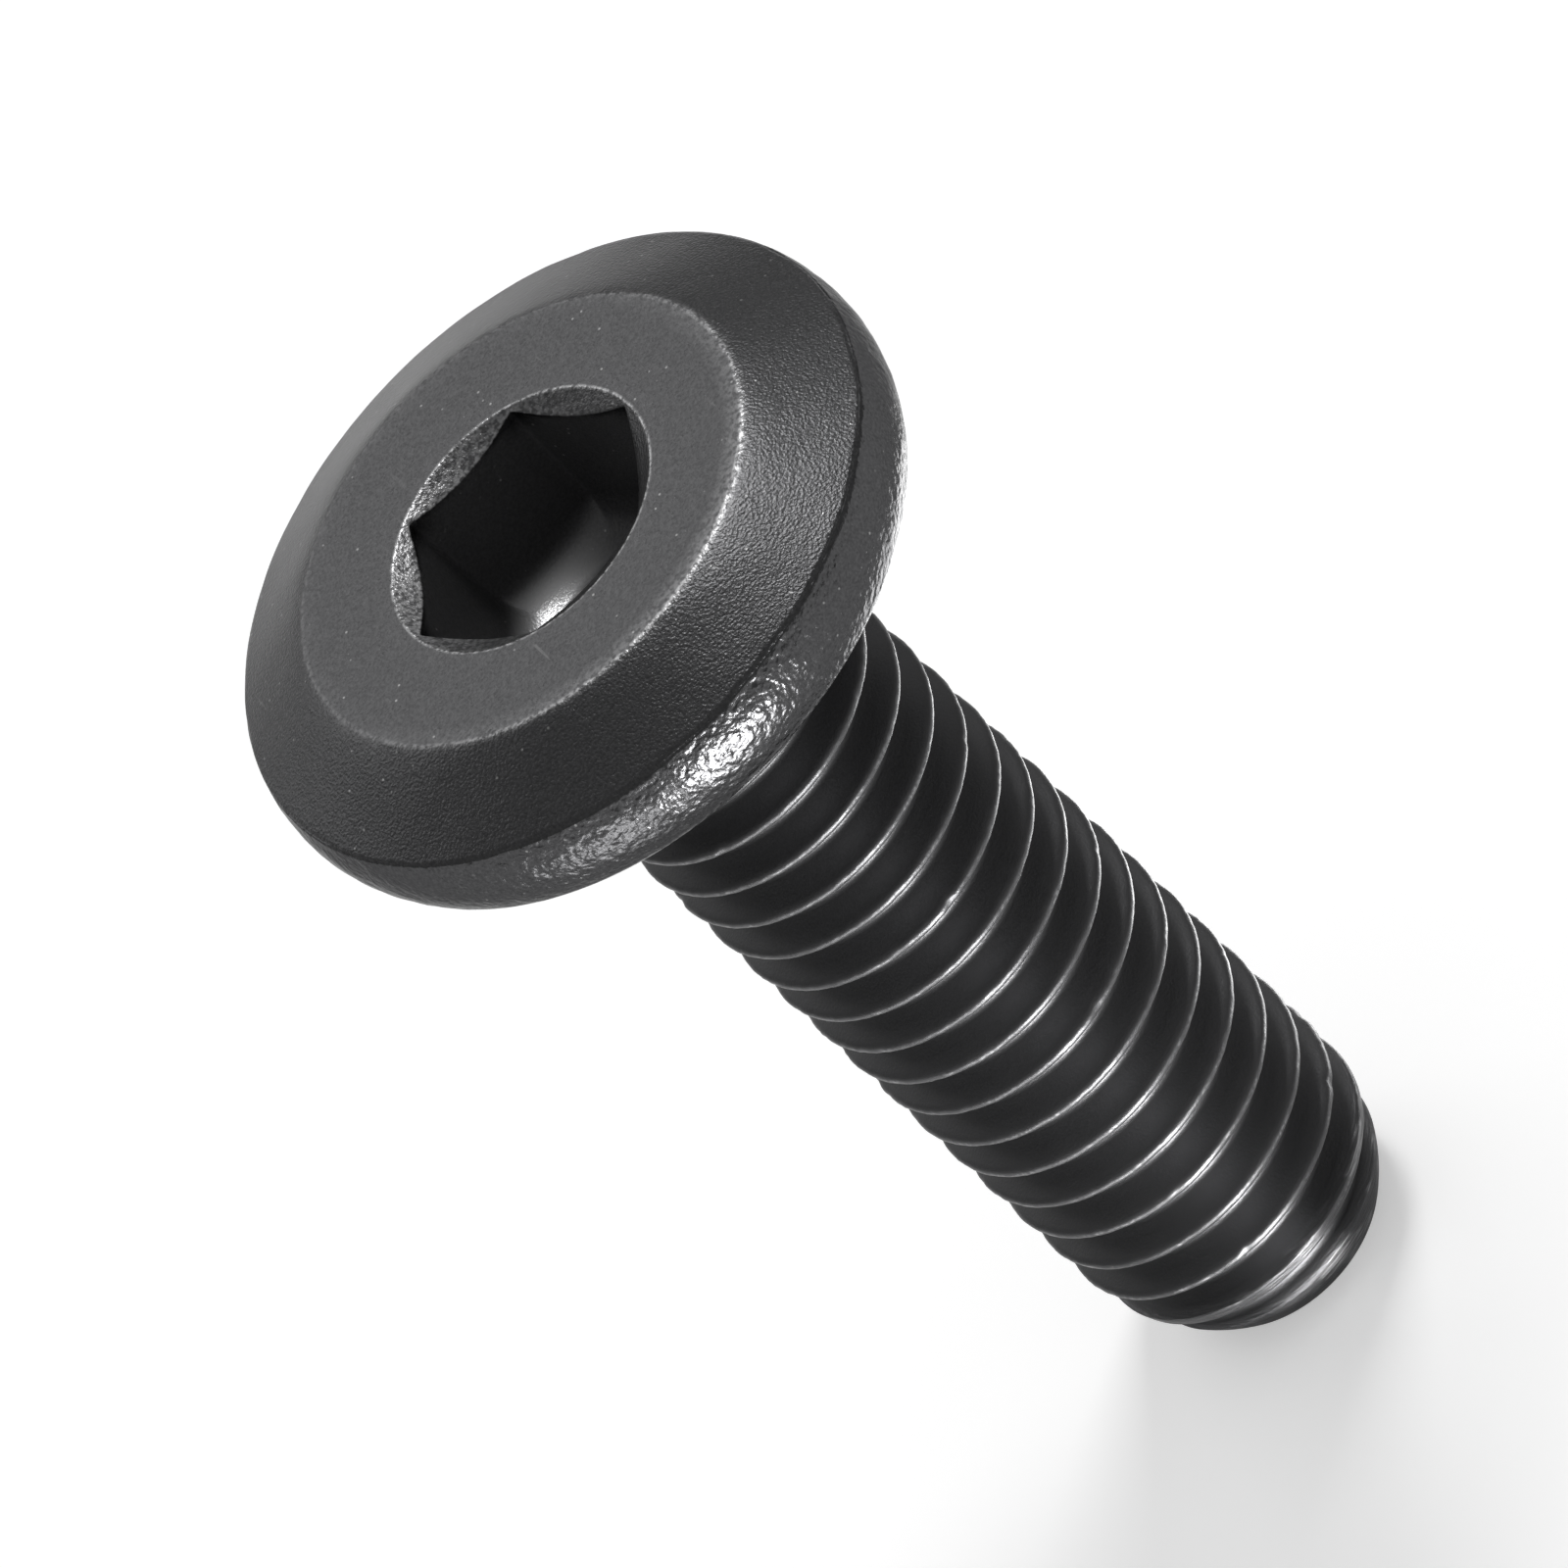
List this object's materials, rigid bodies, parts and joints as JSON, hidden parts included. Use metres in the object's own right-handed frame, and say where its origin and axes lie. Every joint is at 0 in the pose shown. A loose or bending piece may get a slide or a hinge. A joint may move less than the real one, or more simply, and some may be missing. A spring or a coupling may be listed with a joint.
{
  "type": "furniture connector bolt",
  "caption": "Flat-headed machine bolt with a bevelled round head, a hexagon socket and a fully threaded shank, for joining furniture panels.",
  "frame": {"origin": "middle of the flat end face of the shank, on which the bolt stands", "axes": "+Z along the bolt's axis from the end face to the head"},
  "size_m": [0.013, 0.013, 0.0228],
  "materials": {
    "blackened_steel": "black oxide, satin, with fine grain"
  },
  "bodies": {
    "root": {"connector_bolt": "blackened_steel"}
  },
  "joints": []
}
